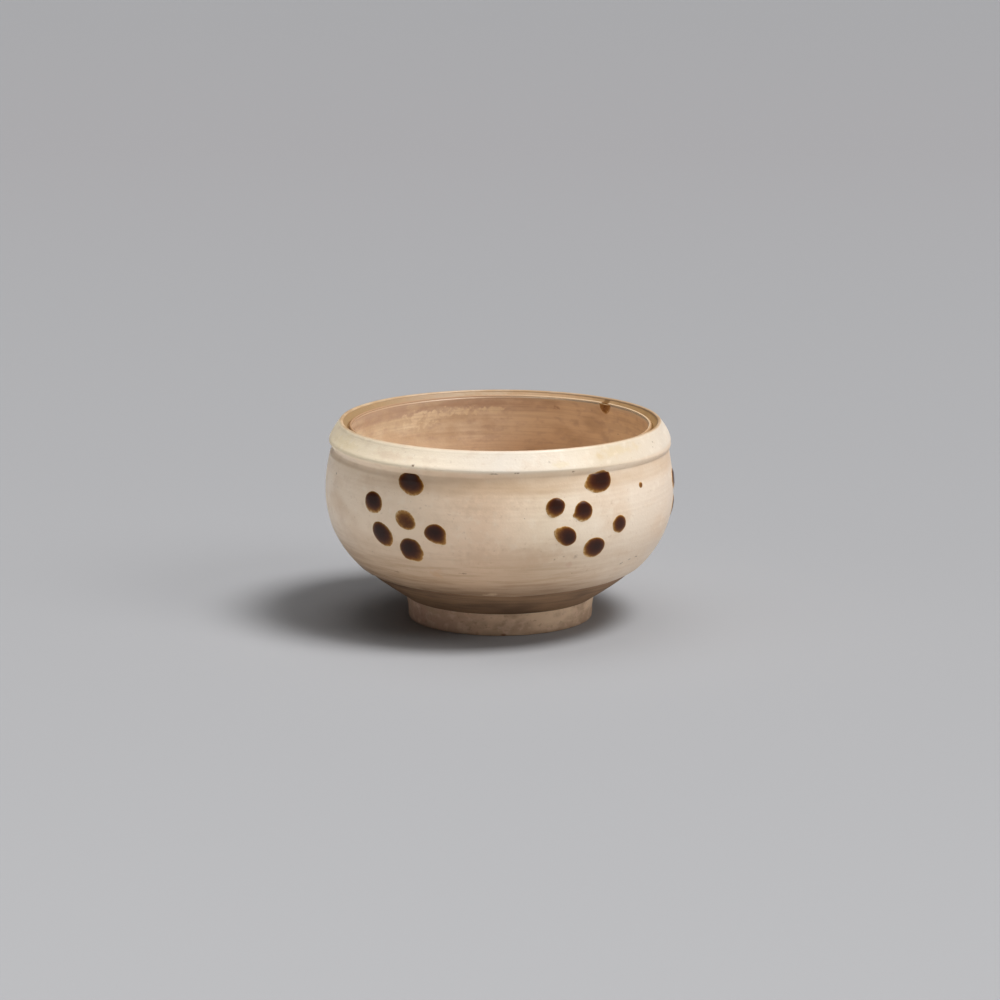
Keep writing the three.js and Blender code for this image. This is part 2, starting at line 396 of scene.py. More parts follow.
def thrown_wall(finish):
    recess = straight([
        (0.4, foot_height + recess_rise),
        (foot_top_radius - foot_width - recess_bevel, foot_height + recess_rise),
        (foot_top_radius - foot_width, foot_height),
        (foot_top_radius - 0.3, foot_height),
    ])
    rows = down(np.linspace(0, bare_length, 90), np.linspace(bare_length + 1, neck_at, 20))
    belly = outside.at(rows, throwing_lines(around, rows, 11) * smooth(rows, 0.3, 2))
    seat = straight([(seat_radius, neck_height), (seat_radius, seat_top), (groove_inside, groove_floor)])
    turn = down(np.linspace(0, math.pi, 14))
    bead = 1 + 0.1 * unevenness(around, turn, 5, (8, 20), turns=9)
    lip = (
        lip_radius + lip_round * (1 + np.cos(turn)),
        lip_height + lip_round * (np.sin(turn) * bead - 1.1),
    )
    hollow = inside.at(down(np.linspace(0.4, inside_end, 60)))
    skin = wrapped(turned_section(recess, belly, seat, lip, hollow), loop=False)
    make_piece("thrown_wall_clay", skin, finish, "thrown_wall")


def rim_collar(finish):
    roll = outside.at(down(np.linspace(neck_at, outside_end, 46)))
    roll[1][0] += seam
    inner_top = (groove_outside, crest_height - crest_round - bevel_drop)
    bevel = spread([tuple(float(v[-1, 0]) for v in roll), inner_top], 0.12)
    dips = 0.05 * (unevenness(around, bevel[:, :1], 21, (1.5, 4), turns=14) - 1)
    bevel = (bevel[:, :1] + dips, bevel[:, 1:] + dips)
    rest = straight([
        inner_top,
        (groove_outside, groove_floor - seat_slope * groove_width + 2 * seam),
        (seat_radius + seam, seat_top + 2 * seam),
        (seat_radius + seam, neck_height + seam),
        (neck_radius - 0.5, neck_height + seam),
    ], 0.3)
    skin = wrapped(turned_section(roll, bevel, rest), loop=True)
    make_piece("rim_collar_clay", skin, finish, "rim_collar")


def foot_ring(finish):
    top = foot_height - seam / 4
    rest_inside = foot_rest_radius - foot_width
    step = 0.16
    section = spread([
        (rest_inside + foot_chamfer, 0),
        (foot_rest_radius - foot_chamfer, 0),
        (foot_rest_radius - 0.15 * foot_chamfer, 0.3 * foot_chamfer),
        (foot_rest_radius, foot_chamfer),
        (blend(foot_rest_radius, foot_top_radius, 0.2), top / 2),
        (foot_top_radius, top),
        (foot_top_radius - foot_width + foot_flare, top),
        (rest_inside + foot_flare / 2, top / 2),
        (rest_inside, foot_chamfer),
        (rest_inside + foot_chamfer, 0),
    ], step)[:-1]
    radius, height = section[:, :1], section[:, 1:]
    along = np.arange(len(section))[:, None] * step
    worn = 0.05 * (unevenness(around, along, 31, (1.5, 5), turns=16) - 1)
    chips = 0.16 * smooth(unevenness(around, 0, 32, (5, 9), turns=34, waves=18), 0.8, 1.5)
    low_edge = smooth(height, 1.3, 0.3) * smooth(radius, foot_rest_radius - 1.2, foot_rest_radius - 0.2)
    body = smooth(height, 0.0, 0.5) * smooth(height, top, top - 0.8)
    outer = smooth(radius, foot_rest_radius - 2, foot_rest_radius - 1) * 2 - 1
    radius = radius + outer * worn * body - low_edge * chips
    height = height + low_edge * chips * smooth(height, -0.2, 0.3)
    skin = wrapped(place(around, radius, height), loop=True)
    make_piece("foot_ring_clay", skin, finish, "foot_ring")


def slip_face(azimuth, length):
    """How far the slip's open face stands off the clay."""
    from_edge, from_crest = length - slip_edge(azimuth), (outside_end - length) * 3
    coat = slip_thickness * smooth(from_edge, -slip_feather, slip_feather)
    coat = coat * smooth(from_crest, -0.3, slip_feather)
    from_end = np.minimum(from_edge, from_crest)
    relief = throwing_lines(azimuth, length, 3) * smooth(from_end, 0, 2)
    relief = relief * (1 - 0.7 * smooth(length, neck_at + 0.5, neck_at + 1.5))
    return coat + seam * smooth(from_end, -0.5, 1.5) + relief


def white_slip(finish):
    edge = slip_edge(around)
    lower = edge + down(np.linspace(0, 1, 70) ** 1.1) * (belly_at - edge)
    upper = down(np.linspace(belly_at, crest_at, 92)[1:], np.linspace(crest_at, outside_end, 12)[1:])
    rows = np.concatenate([lower, np.broadcast_to(upper, (len(upper), sides))])
    face = outside.at(rows, slip_face(around, rows))
    back = outside.at(rows[::-3], seam / 4)
    skin = wrapped(turned_section(face, back), loop=True)
    make_piece("white_slip_coat", skin, finish, "white_slip")


def glaze_face(azimuth, length):
    """How far the inner glaze's open face stands off the clay."""
    relief = throwing_lines(azimuth, length, 61) * smooth(length, 0.5, 2.5)
    return seam + glaze_thickness * smooth(length, -0.2, 2.0) + 1.5 * relief


def inner_glaze(finish):
    rows = down(np.linspace(0, inside_end, 150))
    face = inside.at(rows, glaze_face(around, rows))
    back = inside.at(rows[::-3], seam / 4)
    skin = wrapped(turned_section(back, face), loop=False)
    make_piece("inner_glaze_coat", skin, finish, "inner_glaze")


def groove_glaze(finish):
    near, far = groove_inside, groove_outside
    across = down(np.linspace(0, 1, 9))
    fill = pool_depth * (1 + 0.2 * unevenness(around, 0, 71, (5, 9), turns=12))
    top = (blend(far, near, across), groove_floor + fill - pool_hollow * np.sin(math.pi * across))
    bed = groove_floor - 0.1
    floor = straight([(near, bed), (far, bed - seat_slope * (far - near))], 0.2)
    skin = wrapped(turned_section(floor, top), loop=True)
    make_piece("groove_glaze_pool", skin, finish, "groove_glaze")


# Brushed dots

dot_thickness = 0.4
dot_sides = 64
under_rings = 5

# How each dot was laid: (direction, reach, spread) of its tails and flats, the side to which the
# thick colour ran and how far, and how thin and olive the colour is. Directions are degrees, 0 to the
# right and 90 up.
laid = {
    "open": {
        "top": ([(-85, 0.26, 36), (42, -0.1, 22), (140, -0.06, 22)], (85, 0.8), 0.0),
        "left": ([(-122, 0.1, 28), (-60, 0.05, 22)], (80, 0.95), 0.0),
        "middle": ([(-35, 0.06, 25), (150, 0.05, 30)], (-40, 0.4), 0.84),
        "right": ([(-48, 0.26, 20), (-112, -0.1, 26), (182, 0.12, 24)], (95, 0.75), 0.15),
        "lower_left": ([(125, 0.05, 26), (-70, 0.05, 30)], (110, 0.5), 0.0),
        "bottom": ([(-52, 0.11, 22), (-10, 0.03, 24)], (115, 0.7), 0.05),
    },
    "tall": {
        "top": ([(187, 0.16, 24), (50, 0.1, 26)], (60, 0.75), 0.0),
        "left": ([(-122, 0.11, 30), (10, 0.04, 22)], (60, 0.8), 0.0),
        "middle": ([(197, 0.24, 13)], (80, 0.9), 0.05),
        "right": ([(72, 0.1, 24), (-100, 0.03, 30)], (60, 0.4), 0.3),
        "lower_left": ([(155, 0.2, 26), (-85, 0.03, 28)], (0, 0.75), 0.1),
        "bottom": ([(-145, 0.08, 26), (20, 0.04, 30)], (55, 0.75), 0.1),
    },
}

# Each group: azimuth and drop of its middle dot below the neck, and its layout
dot_groups = {
    "front_left": (-31.7, 11.94, "open"),
    "front_right": (27.5, 9.2, "tall"),
    "right": (99, 11.7, "open"),
    "back": (175, 10.85, "tall"),
    "left": (-109, 11.9, "open"),
}

# Each dot: round and up from the middle one, width, height, lean
dot_layouts = {
    "open": {
        "top": (1.1, 10.0, 8.4, 5.1, -10),
        "left": (-11.2, 3.4, 5.7, 6.7, 80),
        "middle": (0, 0, 6.6, 5.2, -24),
        "right": (9.05, -3, 6.2, 5.7, -23),
        "lower_left": (-8.1, -5.0, 7.6, 6.2, -30),
        "bottom": (1.05, -8.35, 7.3, 7.0, -10),
    },
    "tall": {
        "top": (5.6, 7.3, 8.2, 5.9, 4),
        "left": (-8.2, 1.75, 5.5, 5.1, 35),
        "middle": (0, 0, 5.7, 5.6, 70),
        "right": (12.1, -5.0, 4.7, 5.1, 68),
        "lower_left": (-5.1, -6.3, 6.5, 5.2, -30),
        "bottom": (4.0, -10.6, 6.6, 5.9, 0),
    },
}


def brushed_dot(name, finish, outline, stand, azimuth, length, size, laying, seed):
    """A low dome of colour that follows the wall, thickest where the brush left most."""
    width, height, lean = size
    tails, (run_to, run), thin = laying
    tilt = math.radians(lean)
    turn = np.linspace(0, 2 * math.pi, dot_sides, endpoint=False)[None, :]
    facing = np.degrees(turn + tilt)
    reach = 1 + 0.035 * unevenness(turn, 0, seed, (5, 9), turns=6, waves=9)
    for direction, amount, spread_angle in tails:
        away = (facing - direction + 180) % 360 - 180
        reach = reach + amount * np.exp(-(away / spread_angle) ** 2)
    # rings run out under the dot, sunk a little into the coat, and back over its dome
    outward = np.linspace(0.04, 1, under_rings)
    shares = np.concatenate([outward, np.sin(np.linspace(math.pi / 2, 0.04, 22))[1:]])[:, None]
    ring = np.arange(len(shares))[:, None]
    dome = ring >= under_rings
    under = np.where(ring == under_rings - 1, -0.1, -0.35)
    swell = np.where(dome, 0.05 + 0.95 * (1 - shares ** 3) ** 0.8, under)
    across = width / 2 * shares * reach * np.cos(turn)
    up = height / 2 * shares * reach * np.sin(turn)
    along = across * math.cos(tilt) - up * math.sin(tilt)
    climb = across * math.sin(tilt) + up * math.cos(tilt)
    bearing = math.radians(azimuth) + along / outline.at(length + climb)[0]
    off = stand(bearing, length + climb) + dot_thickness * (1 - 0.5 * thin) * swell
    radius, level = outline.at(length + climb, off)
    skin = wrapped(place(bearing, radius, level), loop=False)
    piece = make_piece(name + "_brushed", skin, finish, name)
    sway = math.radians(run_to)
    shift = (along * math.cos(sway) + climb * math.sin(sway)) / (0.25 * (width + height))
    colour_depth = (1 - shares ** 2.0) * (1 - 0.75 * thin) * (1 + run * shift)
    depth = np.where(dome, colour_depth, 0).reshape(-1)
    ends = [0, 1 - 0.75 * thin]
    layer = piece.data.attributes.new("colour_depth", "FLOAT", "POINT")
    layer.data.foreach_set("value", np.concatenate([depth, ends]).astype(np.float32))


def brush_all_dots(finish):
    seed = 100
    for group, (azimuth, drop, layout) in dot_groups.items():
        for dot, (round_by, up, *size) in dot_layouts[layout].items():
            seed += 1
            brushed_dot(
                f"dot_{group}_{dot}", finish, outside, slip_face,
                azimuth + math.degrees(round_by / belly_radius), neck_at - drop + up,
                size, laid[layout][dot], seed,
            )
    brushed_dot(
        "dot_stray", finish, outside, slip_face, 53, neck_at - 4.95,
        (1.7, 1.6, 0), ([(120, 0.1, 30)], (0, 0.0), 1.0), 150,
    )
    brushed_dot(
        "dot_inner_rim", finish, inside, glaze_face, 133.7, 0.5, (4.3, 3.9, 0),
        ([(195, 0.05, 28), (-40, 0.12, 30), (-120, 0.08, 30), (80, 0.2, 30)], (90, 0.2), 1.12), 151,
    )


# Shader tools

def colour(red, green, blue):
    """A finish's colour, given as it is seen, 0 to 255."""
    seen = np.array([red, green, blue]) / 255
    return (*np.where(seen <= 0.04045, seen / 12.92, ((seen + 0.055) / 1.055) ** 2.4).tolist(), 1.0)


def add(tree, kind, inputs=None, **settings):
    """A new node; each input is linked where its value is a socket, and set where it is a plain one."""
    node = tree.nodes.new(kind)
    for key, value in settings.items():
        setattr(node, key, value)
    for key, value in (inputs or {}).items():
        if isinstance(value, bpy.types.NodeSocket):
            tree.links.new(value, node.inputs[key])
        else:
            node.inputs[key].default_value = value
    return node


def reckon(tree, operation, *values):
    """One step of arithmetic on sockets or numbers, such as SUBTRACT or DIVIDE."""
    return add(tree, "ShaderNodeMath", dict(enumerate(values)), operation=operation).outputs[0]


def plus(tree, a, b):
    return reckon(tree, "ADD", a, b)


def times(tree, first, *others):
    for other in others:
        first = reckon(tree, "MULTIPLY", first, other)
    return first


def span(tree, a, b):
    """The long side of a right angle with sides a and b."""
    return reckon(tree, "POWER", plus(tree, times(tree, a, a), times(tree, b, b)), 0.5)


def graded(tree, mask, low_out, high_out):
    """A mask of 0 to 1 made to run evenly from low_out to high_out."""
    return reckon(tree, "MULTIPLY_ADD", mask, high_out - low_out, low_out)


def from_left(tree, across, reach):
    """0 at the left end and 1 at the right end of a width that reaches as far on both sides."""
    return reckon(tree, "MULTIPLY_ADD", across, 0.5 / reach, 0.5)


def rise(tree, value, start, end, low_out=0.0, high_out=1.0):
    """A smooth step from start to end."""
    return add(tree, "ShaderNodeMapRange", {
        "Value": value, "From Min": start, "From Max": end, "To Min": low_out, "To Max": high_out,
    }, interpolation_type="SMOOTHSTEP").outputs[0]


def noise(tree, vector, size, roughness=0.5):
    """Soft noise whose swells are about size millimetres wide."""
    scale = reckon(tree, "DIVIDE", 1.0, size)
    return add(tree, "ShaderNodeTexNoise", {
        "Vector": vector, "Scale": scale, "Detail": 3.0, "Roughness": roughness}).outputs[0]


def mixed(tree, share, first, second):
    return add(tree, "ShaderNodeMix", {0: share, 6: first, 7: second}, data_type="RGBA").outputs[2]


def shades(tree, value, stops):
    """A colour read off a row of stops, each a position and the colour seen there."""
    ramp = add(tree, "ShaderNodeValToRGB", {0: value})
    elements = ramp.color_ramp.elements
    while len(elements) < len(stops):
        elements.new(0.5)
    for element, (position, *seen) in zip(elements, stops):
        element.position = position
        element.color = colour(*seen)
    return ramp.outputs[0]


def new_group(name, inputs, outputs):
    """A shader node group with named number inputs and named outputs."""
    tree = bpy.data.node_groups.new(name, "ShaderNodeTree")
    for label, value in inputs.items():
        tree.interface.new_socket(label, in_out="INPUT", socket_type="NodeSocketFloat").default_value = value
    for label, kind in outputs.items():
        tree.interface.new_socket(label, in_out="OUTPUT", socket_type="NodeSocket" + kind)
    return tree, tree.nodes.new("NodeGroupInput").outputs, tree.nodes.new("NodeGroupOutput").inputs


def use(tree, group, **inputs):
    """Places a group; its inputs are named with underscores for spaces."""
    named = {label.replace("_", " "): value for label, value in inputs.items()}
    return add(tree, "ShaderNodeGroup", named, node_tree=group).outputs


def bowl_place_group():
    """Where a point lies on the bowl: azimuth in degrees, and millimetres up, across and towards the back.

    Level is the height with the rim's fall to the right taken out.
    """
    tree, _, out = new_group("bowl_place", {}, {
        "Azimuth": "Float", "Height": "Float", "Level": "Float", "Across": "Float", "Depth": "Float",
        "Radius": "Float", "Point": "Vector"})
    spot = add(tree, "ShaderNodeTexCoord").outputs["Object"]
    point = add(tree, "ShaderNodeVectorMath", {0: spot, "Scale": 1 / MM}, operation="SCALE").outputs[0]
    across, depth, up = add(tree, "ShaderNodeSeparateXYZ", {0: point}).outputs
    bearing = reckon(tree, "ARCTAN2", across, times(tree, depth, -1.0))
    to_right = reckon(tree, "MULTIPLY_ADD", reckon(tree, "SINE", bearing), 0.5, 0.5)
    fallen = times(tree, rise(tree, up, belly_height - 8, crest_height, 0.0, rim_fall),
                   reckon(tree, "POWER", to_right, 3.0))
    for label, value in (
        ("Azimuth", times(tree, bearing, 180 / math.pi)), ("Height", up), ("Level", plus(tree, up, fallen)),
        ("Across", across), ("Depth", depth), ("Radius", span(tree, across, depth)), ("Point", point),
    ):
        tree.links.new(value, out[label])
    return tree


def stretched(tree, point, across, seed):
    """The point raised by seed, its level directions scaled so that a pattern runs round the bowl."""
    east, north, up = add(tree, "ShaderNodeSeparateXYZ", {0: point}).outputs
    return add(tree, "ShaderNodeCombineXYZ", {
        0: times(tree, east, across), 1: times(tree, north, across), 2: plus(tree, up, seed)}).outputs[0]


def cloud_group():
    """Soft uneven patches: Size in millimetres, Level Scale below 1 draws them out round the bowl."""
    tree, given, out = new_group(
        "soft_clouds", {"Size": 8.0, "Level Scale": 1.0, "Seed": 0.0, "From": 0.4, "To": 0.6},
        {"Mask": "Float"})
    vector = stretched(tree, use(tree, bowl_place)["Point"], given["Level Scale"], given["Seed"])
    cloud = noise(tree, vector, given["Size"])
    tree.links.new(rise(tree, cloud, given["From"], given["To"]), out["Mask"])
    return tree


def speck_group():
    """Round grains: Size is their grid in millimetres, Share how many of the cells hold one."""
    tree, given, out = new_group(
        "fine_specks", {"Size": 3.0, "Share": 0.1, "Radius": 0.1, "Seed": 0.0}, {"Mask": "Float"})
    vector = stretched(tree, use(tree, bowl_place)["Point"], 1.0, given["Seed"])
    scale = reckon(tree, "DIVIDE", 1.0, given["Size"])
    cells = add(tree, "ShaderNodeTexVoronoi", {"Vector": vector, "Scale": scale}).outputs
    lot, size_lot, _ = add(tree, "ShaderNodeSeparateColor", {0: cells["Color"]}).outputs
    grain = times(tree, given["Radius"], plus(tree, size_lot, 0.4))
    dot = rise(tree, cells["Distance"], times(tree, grain, 0.7), grain, 1.0, 0.0)
    chosen = reckon(tree, "LESS_THAN", lot, given["Share"])
    tree.links.new(times(tree, dot, chosen), out["Mask"])
    return tree


def patch_group():
    """One placed patch: its middle, half width and half height, with a ragged soft edge."""
    tree, given, out = new_group(
        "placed_patch",
        {"Azimuth": 0.0, "Height": 30.0, "Half Width": 5.0, "Half Height": 5.0, "Lean": 0.0,
         "Softness": 0.6, "Ragged": 0.3, "Grain": 2.0},
        {"Mask": "Float"})
    where = use(tree, bowl_place)
    turn = reckon(tree, "SUBTRACT", where["Azimuth"], given["Azimuth"])
    turn = reckon(tree, "WRAP", turn, 180.0, -180.0)
    across = times(tree, turn, belly_radius * math.pi / 180)
    up = reckon(tree, "SUBTRACT", where["Height"], given["Height"])
    up = reckon(tree, "SUBTRACT", up, times(tree, across, given["Lean"]))
    wide = reckon(tree, "DIVIDE", across, given["Half Width"])
    tall = reckon(tree, "DIVIDE", up, given["Half Height"])
    ripple = reckon(tree, "SUBTRACT", noise(tree, where["Point"], given["Grain"]), 0.5)
    apart = plus(tree, span(tree, wide, tall), times(tree, ripple, given["Ragged"], 4.0))
    inner = reckon(tree, "SUBTRACT", 1.0, given["Softness"])
    tree.links.new(rise(tree, apart, inner, 1.0, 1.0, 0.0), out["Mask"])
    return tree


def lines_group():
    """Level lines left by the wheel and the tool: Pitch in millimetres."""
    tree, given, out = new_group(
        "wheel_lines", {"Pitch": 0.8, "Wander": 0.02, "Seed": 0.0}, {"Height": "Float"})
    vector = stretched(tree, use(tree, bowl_place)["Point"], given["Wander"], given["Seed"])
    tree.links.new(noise(tree, vector, given["Pitch"], roughness=0.6), out["Height"])
    return tree


def bump(tree, height, distance, strength, normal=None):
    inputs = {"Height": height, "Distance": distance * MM, "Strength": strength}
    if normal is not None:
        inputs["Normal"] = normal
    return add(tree, "ShaderNodeBump", inputs).outputs[0]


def new_finish(name, roughness, specular=0.5):
    material = bpy.data.materials.new(name)
    material.use_nodes = True
    tree = material.node_tree
    shader = tree.nodes["Principled BSDF"]
    shader.inputs["Roughness"].default_value = roughness
    shader.inputs["Specular IOR Level"].default_value = specular
    return material, tree


def surfaced(material, **sockets):
    """The finish with sockets linked into its shader, whose inputs are named with underscores for spaces."""
    tree = material.node_tree
    for label, socket in sockets.items():
        tree.links.new(socket, tree.nodes["Principled BSDF"].inputs[label.replace("_", " ")])
    return material


bowl_place = bowl_place_group()
clouds = cloud_group()
specks = speck_group()
patch = patch_group()
wheel_lines = lines_group()


def tinted(tree, base, tint, strength, mask):
    """The base colour with a tint laid on by a mask."""
    return mixed(tree, times(tree, mask, strength), base, tint)


def clouded(tree, base, tint, size, level=1.0, seed=0.0, start=0.4, end=0.65, strength=1.0):
    """The base colour with soft clouds of a tint laid over it."""
    mask = use(tree, clouds, Size=size, Level_Scale=level, Seed=seed, From=start, To=end)["Mask"]
    return tinted(tree, base, tint, strength, mask)


def grain(tree, size, seed, level=1.0, start=0.2):
    """Fine unevenness of the surface, for a bump."""
    return use(tree, clouds, Size=size, Level_Scale=level, Seed=seed, From=start, To=0.8)["Mask"]


def wheel_marks(tree, pitch, seed, wander=0.03):
    return use(tree, wheel_lines, Pitch=pitch, Wander=wander, Seed=seed)["Height"]


def speckled(tree, base, tint, strength, **grains):
    """The base colour with fine grains of a tint in it."""
    return tinted(tree, base, tint, strength, use(tree, specks, **grains)["Mask"])


def patched(tree, base, tint, strength, spot, soft=0.8, ragged=0.25, grain=2.0, lean=0.0):
    """The base colour with one patch of a tint on a spot: azimuth, height, half width and half height."""
    azimuth, height, wide, tall = spot
    mask = use(
        tree, patch, Azimuth=azimuth, Height=height, Half_Width=wide, Half_Height=tall,
        Softness=soft, Ragged=ragged, Grain=grain, Lean=lean)["Mask"]
    return tinted(tree, base, tint, strength, mask)


# Finishes: how far left and right their colours run, and the heights between which the wash deepens

slip_reach = 49.0
mouth_reach = 45.0
foot_reach = 26.0
high_wash = (35.0, 18.0)
low_wash = (20.0, 15.0)


def white_slip_finish():
    material, tree = new_finish("white_slip", 0.4)
    where = use(tree, bowl_place)
    level, side = where["Level"], from_left(tree, where["Across"], slip_reach)
    # warm and thin over the front of the belly, chalkier on the band, greyer to the right
    # both ramps are also lighter on the left and darker on the right: painted light and shade against the
    # stronger lamps on the right
    belly = shades(tree, side, (
        (0.0, 247, 229, 207),
        (0.25, 242, 220, 195),
        (0.45, 244, 215, 187),
        (0.62, 236, 217, 192),
        (0.8, 235, 220, 201),
        (1.0, 216, 197, 178),
    ))
    band = shades(tree, side, (
        (0.0, 255, 238, 206),
        (0.3, 254, 238, 214),
        (0.5, 236, 225, 210),
        (0.78, 214, 198, 174),
        (1.0, 218, 205, 190),
    ))
    belly = clouded(tree, belly, colour(214, 184, 154), 9, 0.6, 3.0, 0.45, 0.75, 0.5)
    skin = mixed(tree, rise(tree, level, band_low + 0.2, band_low + 1.4), belly, band)
    skin = clouded(tree, skin, colour(218, 194, 168), 3.0, 0.8, 21.0, 0.5, 0.75, 0.3)
    skin = clouded(tree, skin, colour(250, 240, 224), 2.2, 0.9, 31.0, 0.52, 0.75, 0.2)
    skin = clouded(tree, skin, colour(176, 146, 116), 1.1, 1.0, 51.0, 0.62, 0.78, 0.3)
    # tan in the fold under the band, less of it at both sides: partly a tan stain, partly painted shade that
    # carries the band's shadow down the neck
    ragged = use(tree, clouds, Size=4.0, Level_Scale=0.4, Seed=61.0, From=0.3, To=0.7)["Mask"]
    fold = times(
        tree,
        rise(tree, level, neck_height - 5.6, neck_height - 2.2),
        rise(tree, level, band_low + 1.0, neck_height - 0.6, 0.5, 1.0),
        rise(tree, level, band_low + 1.6, band_low + 0.8),
        rise(tree, side, 1.0, 0.6, 0.65, 1.0),
        rise(tree, side, 0.1, 0.35, 0.2, 1.0),
        graded(tree, ragged, 0.5, 0.85),
    )
    skin = mixed(tree, fold, skin, colour(206, 176, 143))
    # grey-brown wash towards the lower edge, with level streaks in it, thinner on the right
    streak = rise(tree, wheel_marks(tree, 1.1, 4.0, 0.06), 0.42, 0.62)
    streaked = times(tree, graded(tree, streak, 0.68, 0.9), rise(tree, side, 0.92, 0.6, 0.3, 1.0))
    for heights, tint in ((high_wash, colour(174, 143, 113)), (low_wash, colour(136, 110, 87))):
        skin = mixed(tree, times(tree, rise(tree, level, *heights), streaked), skin, tint)
    # the crest is rubbed through to tan
    worn = use(tree, clouds, Size=3.0, Level_Scale=0.5, Seed=71.0, From=0.2, To=0.6)["Mask"]
    rubbed = times(
        tree,
        rise(tree, where["Radius"], crest_radius + 1.0, crest_radius + 0.45),
        graded(tree, worn, 0.7, 1.0),
        rise(tree, level, crest_height - 1.6, crest_height - 1.0),
        rise(tree, where["Depth"], -40.0, -10.0, 0.75, 1.0),
    )
    skin = mixed(tree, rubbed, skin, colour(184, 152, 116))
    # yellow stains on the band, and tan ones on the belly
    for tint, strength, spot in (
        (colour(212, 190, 148), 0.4, (44, 53.8, 11, 1.6)),
        (colour(206, 180, 138), 0.45, (36, 53.2, 2.4, 1.4)),
        (colour(214, 194, 152), 0.4, (20, 52.3, 3.5, 1.0)),
        (colour(248, 228, 186), 0.4, (-66, 53, 10, 2.2)),
        (colour(232, 204, 176), 0.35, (-40, 53, 9, 1.6)),
        (colour(208, 180, 150), 0.35, (-4, 42.5, 15, 3.6)),
        (colour(200, 168, 138), 0.3, (2, 27.0, 20, 4.5)),
        (colour(196, 152, 110), 0.45, (-23, 21.5, 2.8, 1.8)),
        (colour(206, 178, 150), 0.5, (-4.0, 14.9, 3.2, 1.0)),
        (colour(196, 160, 140), 0.4, (23.5, 24.0, 1.9, 1.1)),
    ):
        skin = patched(tree, skin, tint, strength, spot, ragged=0.6)
    dark = colour(112, 84, 58)
    skin = speckled(tree, skin, dark, 0.6, Size=3.2, Share=0.1, Radius=0.08, Seed=2.0)
    skin = speckled(tree, skin, colour(176, 140, 104), 0.28, Size=1.7, Share=0.22, Radius=0.12, Seed=12.0)
    # single dark marks, the last value of each its strength
    for *spot, strength in (
        (-29.5, 51.5, 0.62, 0.42, 1.0),
        (-69.5, 44.0, 0.5, 0.4, 0.7),
        (-2.0, 50.4, 1.9, 0.3, 0.6),
        (5.5, 50.6, 1.1, 0.28, 0.75),
        (24.4, 50.2, 0.6, 0.35, 0.75),
        (16.5, 53.0, 0.45, 0.4, 0.35),
        (-12.8, 22.1, 1.6, 0.35, 0.55),
        (-40.0, 20.1, 1.4, 0.4, 0.35),
        (-34.6, 21.4, 0.6, 0.3, 0.5),
        (25.6, 26.3, 0.9, 0.8, 0.35),
        (21.3, 26.8, 0.45, 0.35, 0.5),
        (18.1, 26.2, 0.4, 0.35, 0.45),
    ):
        skin = patched(tree, skin, dark, strength, spot, soft=0.9, ragged=0.5, grain=0.7)
    # three short scratches low on the right
    for lean, spot in (
        (0.35, (48.0, 21.6, 1.0, 0.2)), (0.3, (52.0, 22.3, 0.8, 0.2)), (-0.1, (56.0, 22.5, 0.9, 0.2)),
    ):
        skin = patched(tree, skin, colour(70, 54, 42), 0.85, spot, ragged=0.5, grain=0.6, lean=lean)
    gloss = use(tree, clouds, Size=5.0, Level_Scale=0.5, Seed=33.0, From=0.35, To=0.7)["Mask"]
    roughness = rise(tree, gloss, 0.0, 1.0, 0.36, 0.55)
    lines = bump(tree, wheel_marks(tree, 0.55, 8.0), 0.03, 0.4)
    relief = bump(tree, grain(tree, 0.6, 5.0, start=0.3), 0.03, 0.6, lines)
    return surfaced(material, Base_Color=skin, Roughness=roughness, Normal=relief)


def bare_clay_finish():
    material, tree = new_finish("bare_clay", 0.75, 0.3)
    where = use(tree, bowl_place)
    across = where["Across"]
    skin = clouded(tree, colour(140, 111, 85), colour(112, 88, 68), 6, 0.3, 1.0)
    lines = wheel_marks(tree, 0.6, 1.0)
    skin = mixed(tree, rise(tree, lines, 0.45, 0.65, 0.0, 0.4), skin, colour(94, 74, 58))
    skin = speckled(tree, skin, colour(80, 60, 46), 0.35, Size=1.3, Share=0.25, Radius=0.12, Seed=7.0)
    # the lip is glazed: palest over the back, deeper at both sides, the left side darker as painted shade by
    # the groove
    lip = clouded(tree, colour(208, 174, 140), colour(190, 152, 116), 2.5, 0.8, 6.0)
    lip = mixed(tree, rise(tree, across, 8.0, -16.0), lip, colour(154, 118, 84))
    lip = mixed(tree, rise(tree, across, 14.0, 38.0), lip, colour(172, 138, 102))
    # its inner side is lighter to the right as painted light over the bead's own shade, and darker to the
    # left as painted shade
    inner_side_painted_shading = mixed(tree, rise(tree, across, -6.0, 22.0), colour(168, 134, 104), colour(224, 196, 162))
    lip = mixed(tree, rise(tree, where["Radius"], lip_radius + 0.45, lip_radius + 0.2), lip, inner_side_painted_shading)
    lip = patched(tree, lip, colour(128, 88, 44), 1.0, (133.9, 55.5, 2.0, 3.0), soft=0.5)
    skin = mixed(tree, rise(tree, where["Level"], groove_floor - 1.5, groove_floor), skin, lip)
    relief = bump(tree, grain(tree, 0.35, 3.0), 0.04, 0.7, bump(tree, lines, 0.12, 0.8))
    return surfaced(material, Base_Color=skin, Normal=relief)


def collar_clay_finish():
    material, tree = new_finish("collar_clay", 0.5, 0.4)
    # the bevel's tan is painted lighter on the right over the crest's shadow there, and darker on the left as
    # painted shade
    skin = shades(tree, from_left(tree, use(tree, bowl_place)["Across"], slip_reach), (
        (0.02, 158, 128, 90),
        (0.3, 166, 137, 103),
        (0.5, 190, 163, 132),
        (0.72, 202, 166, 126),
        (0.97, 206, 168, 114),
    ))
    skin = clouded(tree, skin, colour(176, 138, 96), 2.5, 0.6, 2.0, 0.45, 0.7, 0.4)
    skin = patched(tree, skin, colour(128, 90, 44), 0.8, (135.6, 55.4, 1.6, 3.0), soft=0.6)
    return surfaced(material, Base_Color=skin, Normal=bump(tree, grain(tree, 0.6, 4.0, 0.7), 0.05, 0.6))


